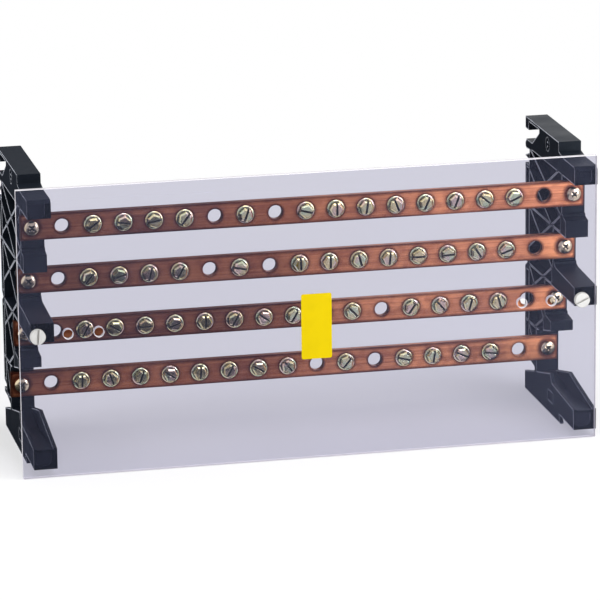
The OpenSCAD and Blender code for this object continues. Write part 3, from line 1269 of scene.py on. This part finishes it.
@dataclass
class BarScrews:
    """The pan-head cross-recess screws at the ends of the bars, modelled once."""

    finish: PlatedSteel
    slot_grime_and_shade_finish: SlotGrimeAndShade
    blank: ScrewBlank = ScrewBlank(
        head_radius=4.25 * MM,
        head_h=2.6 * MM,
        profile=((0.45, 1.0), (0.70, 0.97), (0.84, 0.86), (0.94, 0.66), (1.0, 0.36)),
    )
    bars: int = 4
    cross_w: float = 1.2 * MM
    cross_len: float = 5.0 * MM
    cross_deep: float = 1.4 * MM
    cross_turn: float = 45.0
    cross_taper: tuple[float, float] = (0.6, 0.75)
    edge: float = 0.12 * MM

    def _pattern(self) -> bpy.types.Object:
        """Model one screw on the Z axis, its head up.

        Returns:
            The screw.
        """
        screw = self.blank.build("bar_screw")
        wings = []
        for turn in (0.0, 90.0):
            wing = Bench.cutter(self.cross_len, self.cross_w, self.blank.head_h, self.cross_deep)
            Bench.lower(wing)
            bpy.ops.transform.resize(value=(*self.cross_taper, 1.0), center_override=ORIGIN)
            Bench.pick(wing)
            wing.data.transform(Matrix.Rotation(math.radians(turn), 4, "Z"))
            wings.append(wing)
        Bench.combine(wings[0], wings[1], "UNION")
        Bench.carve(screw, wings[0], self.finish.material(), self.slot_grime_and_shade_finish.material())
        Bench.soften(screw, self.edge)
        return screw

    def build(self) -> None:
        """Model one screw, copy it to both ends of each bar and hide the CAD nodes."""
        pattern = self._pattern()
        material = pattern.data.materials[0]
        for side in Side:
            for bar in range(1, self.bars + 1):
                node = f"{side.value}_bar_screw_{bar}"
                move = facing_front(self.blank.seat(node), self.cross_turn)
                piece = Bench.copy(pattern, f"{side.value}_end_screw_{bar}", move)
                adopt(piece, node, material)
        bpy.data.meshes.remove(pattern.data)


@dataclass
class CoverScrews:
    """The two slotted nylon screws that hold the cover, modelled once."""

    finish: WhiteNylon
    blank: ScrewBlank = ScrewBlank(
        head_radius=4.4 * MM, head_h=2.8 * MM, profile=((0.82, 1.0), (0.94, 0.95), (1.0, 0.741))
    )
    slot_w: float = 1.2 * MM
    slot_deep: float = 1.3 * MM
    edge: float = 0.3 * MM
    edge_facets: int = 3
    turns: tuple[float, float] = (85.0, 25.0)

    def _pattern(self) -> bpy.types.Object:
        """Model one screw on the Z axis, its head up.

        Returns:
            The screw.
        """
        screw = self.blank.build("cover_screw")
        reach = 2 * self.blank.head_radius * CUTTER_REACH
        Bench.combine(screw, Bench.cutter(reach, self.slot_w, self.blank.head_h, self.slot_deep))
        Bench.soften(screw, self.edge, self.edge_facets)
        return screw

    def build(self) -> None:
        """Model one screw, copy it to both ends of the cover and hide the CAD nodes."""
        material = self.finish.material()
        pattern = self._pattern()
        for side, turn in zip(Side, self.turns):
            node = f"{side.value}_cover_screw"
            move = facing_front(self.blank.seat(node), turn)
            piece = Bench.copy(pattern, f"{side.value}_nylon_screw", move)
            adopt(piece, node, material)
        bpy.data.meshes.remove(pattern.data)


@dataclass
class CoverPlate:
    """The clear sheet with three holes at each end."""

    face: ClearSheet
    sawn: SawnEdge
    hole_radius: float = 2.75 * MM
    holes: int = 3
    pitch: float = 17.5 * MM
    edge: float = 0.22 * MM
    front_face: float = 0.95

    def build(self) -> None:
        """Model the sheet and hide its CAD node."""
        low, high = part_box("cover_plate")
        piece = Bench.block("clear_cover", low, high)
        drills = []
        for side, inward in zip(Side, (1.0, -1.0)):
            head_low, head_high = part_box(f"{side.value}_cover_screw")
            for hole in range(self.holes):
                x = (head_low.x + head_high.x) / 2 + inward * hole * self.pitch
                rear = Vector((x, high.y, (head_low.z + head_high.z) / 2))
                drills.append(Bench.drill(self.hole_radius, rear, high.y - low.y))
        Bench.combine(piece, Bench.join(drills))
        Bench.soften(piece, self.edge, 1)
        piece.data.materials.append(self.face.material())
        piece.data.materials.append(self.sawn.material())
        for face in piece.data.polygons:
            face.material_index = 0 if abs(face.normal.y) > self.front_face else 1
        adopt(piece, "cover_plate", piece.data.materials[0])


@dataclass
class CoverLabel:
    """The blank label with rounded corners."""

    finish: LabelFilm
    corner: float = 1.1 * MM
    corner_facets: int = 5

    def build(self) -> None:
        """Model the label and hide its CAD node."""
        low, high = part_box("cover_label")
        piece = Bench.block("yellow_label", low, high)
        Bench.pick(piece)
        bpy.ops.object.mode_set(mode="EDIT")
        bpy.ops.mesh.select_mode(type="EDGE")
        bpy.ops.mesh.select_all(action="DESELECT")
        bpy.ops.object.mode_set(mode="OBJECT")
        points = piece.data.vertices
        for edge in piece.data.edges:
            first, second = (points[i].co for i in edge.vertices)
            edge.select = abs(first.y - second.y) > TOUCH
        bpy.ops.object.mode_set(mode="EDIT")
        bpy.ops.mesh.bevel(offset=self.corner, segments=self.corner_facets, affect="EDGES")
        Bench.even(piece)
        adopt(piece, "cover_label", self.finish.material())


@dataclass
class Supports:
    """The two black mouldings, copied from the CAD mesh and given rounded edges."""

    finish: MouldedPlastic
    edge: float = 0.13 * MM
    flat: float = 1.0
    smooth: float = 50.0

    def build(self, nodes: dict[str, bpy.types.Object]) -> None:
        """Model the mouldings and hide their CAD nodes.

        Args:
            nodes: All CAD nodes by name.
        """
        material = self.finish.material()
        for side in Side:
            node = f"{side.value}_support"
            source = nodes[node]
            piece = Bench.copy(source, f"{side.value}_moulding", source.matrix_world)
            piece.parent = None
            piece.matrix_world = Matrix.Identity(4)
            Bench.tidy(piece)
            Bench.faces(piece, lambda face: True)
            bpy.ops.mesh.dissolve_limited(angle_limit=math.radians(self.flat))
            Bench.pick(piece)
            Bench.bevel(piece, self.edge, 1, clamp=False)
            Bench.even(piece, self.smooth)
            adopt(piece, node, material)


@dataclass
class PhotoCamera:
    """The camera at the photograph's angle, for a square picture of 600 pixels."""

    azimuth: float = -12.25
    elevation: float = 15.0
    roll: float = -0.64
    distance: float = 2466.9 * MM
    focal_pixels: float = 4325.6
    picture_pixels: float = 600.0
    sensor_mm: float = 36.0
    target: Place = (-1.85 * MM, -28.1 * MM, 87.1 * MM)
    sight: float = 20.0

    def build(self) -> None:
        """Place the camera and make it the scene's own."""
        a, e, t = (math.radians(v) for v in (self.azimuth, self.elevation, self.roll))
        back = Vector((math.sin(a) * math.cos(e), -math.cos(a) * math.cos(e), math.sin(e)))
        right = Vector((0.0, 0.0, 1.0)).cross(back).normalized()
        up = back.cross(right)
        across = right * math.cos(t) + up * math.sin(t)
        upward = up * math.cos(t) - right * math.sin(t)
        data = bpy.data.cameras.new("photo_camera")
        data.sensor_width = self.sensor_mm
        data.lens = self.focal_pixels / self.picture_pixels * self.sensor_mm
        data.clip_end = self.sight
        camera = bpy.data.objects.new("photo_camera", data)
        turn = Matrix((across, upward, back)).transposed().to_4x4()
        camera.matrix_world = Matrix.Translation(Vector(self.target) + back * self.distance) @ turn
        bpy.context.scene.collection.objects.link(camera)
        bpy.context.scene.camera = camera


@dataclass(frozen=True)
class Lamp:
    """A square lamp; its place and its target are measured from the middle of the object."""

    name: str
    place: Place
    size: float
    power: float
    target: Place = ORIGIN
    mirrored: bool = True


@dataclass(frozen=True)
class Card:
    """A dark card between two corners."""

    name: str
    low: Place
    high: Place


@dataclass
class Studio:
    """Pale floor, soft lamps, a white surround and dark cards that only mirrors see."""

    lamps: tuple[Lamp, ...] = (
        Lamp("key_lamp", (0.35, -0.7, 1.5), 1.1, 17.0),
        Lamp("side_lamp", (1.3, -0.8, 0.8), 0.9, 7.0),
        Lamp("low_lamp", (0.50, -0.75, 0.07625), 0.28, 3.2, target=(0.12, 0.0, 0.00625)),
        Lamp("left_lamp", (-1.3, -0.25, 0.25), 0.5, 9.0, mirrored=False),
    )
    cards: tuple[Card, ...] = (
        Card("rear_card", (-1.2, 0.03, 0.001), (0.75, 1.4, 0.002)),
        Card("left_foot_card", (-1.2, -0.07, 0.001), (-0.145, 0.03, 0.002)),
        Card("right_foot_card", (0.125, -0.07, 0.001), (0.75, 0.03, 0.002)),
        Card("back_card", (-1.5, 1.0, 0.003), (0.20, 1.01, 0.60)),
        Card("front_card", (-0.32, -0.80, 0.001), (0.03, -0.075, 0.002)),
    )
    floor_size: float = 8.0
    floor_colour: Colour = (0.92, 0.92, 0.94)
    card_colour: Colour = (0.02, 0.02, 0.022)
    card_patch: float = 3.0
    card_rough: Span = (0.81, 0.83)
    white: Colour = (1.0, 1.0, 1.0)
    world_level: float = 0.42
    near_glow: float = 0.55
    near: float = 0.22
    far: float = 0.60

    def _lamp(self, lamp: Lamp, middle: Vector) -> None:
        """Hang one lamp.

        Args:
            lamp: The lamp.
            middle: The middle of the object.
        """
        data = bpy.data.lights.new(lamp.name, "AREA")
        data.energy = lamp.power
        data.size = lamp.size
        hung = bpy.data.objects.new(lamp.name, data)
        hung.location = middle + Vector(lamp.place)
        aim = Vector(lamp.target) - Vector(lamp.place)
        hung.rotation_euler = aim.to_track_quat("-Z", "Y").to_euler()
        hung.visible_camera = False
        hung.visible_glossy = lamp.mirrored
        bpy.context.scene.collection.objects.link(hung)

    def _floor(self) -> None:
        """Lay the floor, matt and shadowed near the object and plain white further off."""
        Bench.pick()
        bpy.ops.mesh.primitive_plane_add(size=self.floor_size, location=ORIGIN)
        floor = bpy.context.object
        floor.name = "floor"
        floor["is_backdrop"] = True
        g = Graph(bpy.data.materials.new("floor_white"))
        glow_share = g.seen() * g.away().ramp(self.near, self.far, self.near_glow, 1.0)
        matt = g.node("ShaderNodeBsdfDiffuse", {}, {"Color": self.floor_colour})
        glow = g.node("ShaderNodeEmission", {}, {"Color": self.white, "Strength": 1.0})
        material = g.close(g.node("ShaderNodeMixShader", {}, {0: glow_share, 1: matt, 2: glow}))
        floor.data.materials.append(material)

    def _card(self, card: Card) -> None:
        """Put up a dark card that is seen only in reflections.

        Args:
            card: The card.
        """
        board = Bench.block(card.name, Vector(card.low), Vector(card.high))
        board.visible_camera = False
        board.visible_diffuse = False
        board.visible_transmission = False
        board.visible_shadow = False
        board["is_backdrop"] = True
        g = Graph(bpy.data.materials.new(card.name))
        rough = g.noise(self.card_patch, 2.0).spread(*self.card_rough)
        matt = g.principled({"Base Color": self.card_colour, "Roughness": rough})
        board.data.materials.append(matt)

    def _world(self) -> None:
        """Make the surround: soft light, and white where it is seen."""
        world = bpy.data.worlds.new("studio_world")
        bpy.context.scene.world = world
        g = Graph(world)
        light, white = (
            g.node("ShaderNodeBackground", {}, {"Color": self.white, "Strength": level})
            for level in (self.world_level, 1.0)
        )
        shader = g.node("ShaderNodeMixShader", {}, {0: g.seen(), 1: light, 2: white})
        g.close(shader, "ShaderNodeOutputWorld")

    def build(self, middle: Vector) -> None:
        """Make the floor, the cards, the lamps and the world.

        Args:
            middle: The middle of the object.
        """
        self._floor()
        for card in self.cards:
            self._card(card)
        for lamp in self.lamps:
            self._lamp(lamp, middle)
        self._world()


def main() -> None:
    """Build the scene in order."""
    logging.basicConfig(level=logging.INFO, format="%(message)s")
    bpy.context.scene.view_settings.view_transform = "Standard"
    for leftover in list(bpy.data.objects):
        bpy.data.objects.remove(leftover)
    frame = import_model()
    cad_low, cad_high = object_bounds()
    row = Row()
    bars = Busbars(row, DrawnCopper())
    bars.build()
    TerminalScrews(row, YellowZinc(), SlotGrimeAndShade()).build(bars.plain_places)
    BarScrews(PlatedSteel(), SlotGrimeAndShade()).build()
    Supports(MouldedPlastic()).build(frame["nodes"])
    CoverPlate(ClearSheet(), SawnEdge()).build()
    CoverScrews(WhiteNylon()).build()
    CoverLabel(LabelFilm()).build()
    PhotoCamera().build()
    Studio().build((cad_low + cad_high) / 2)


if __name__ == "__main__":
    main()
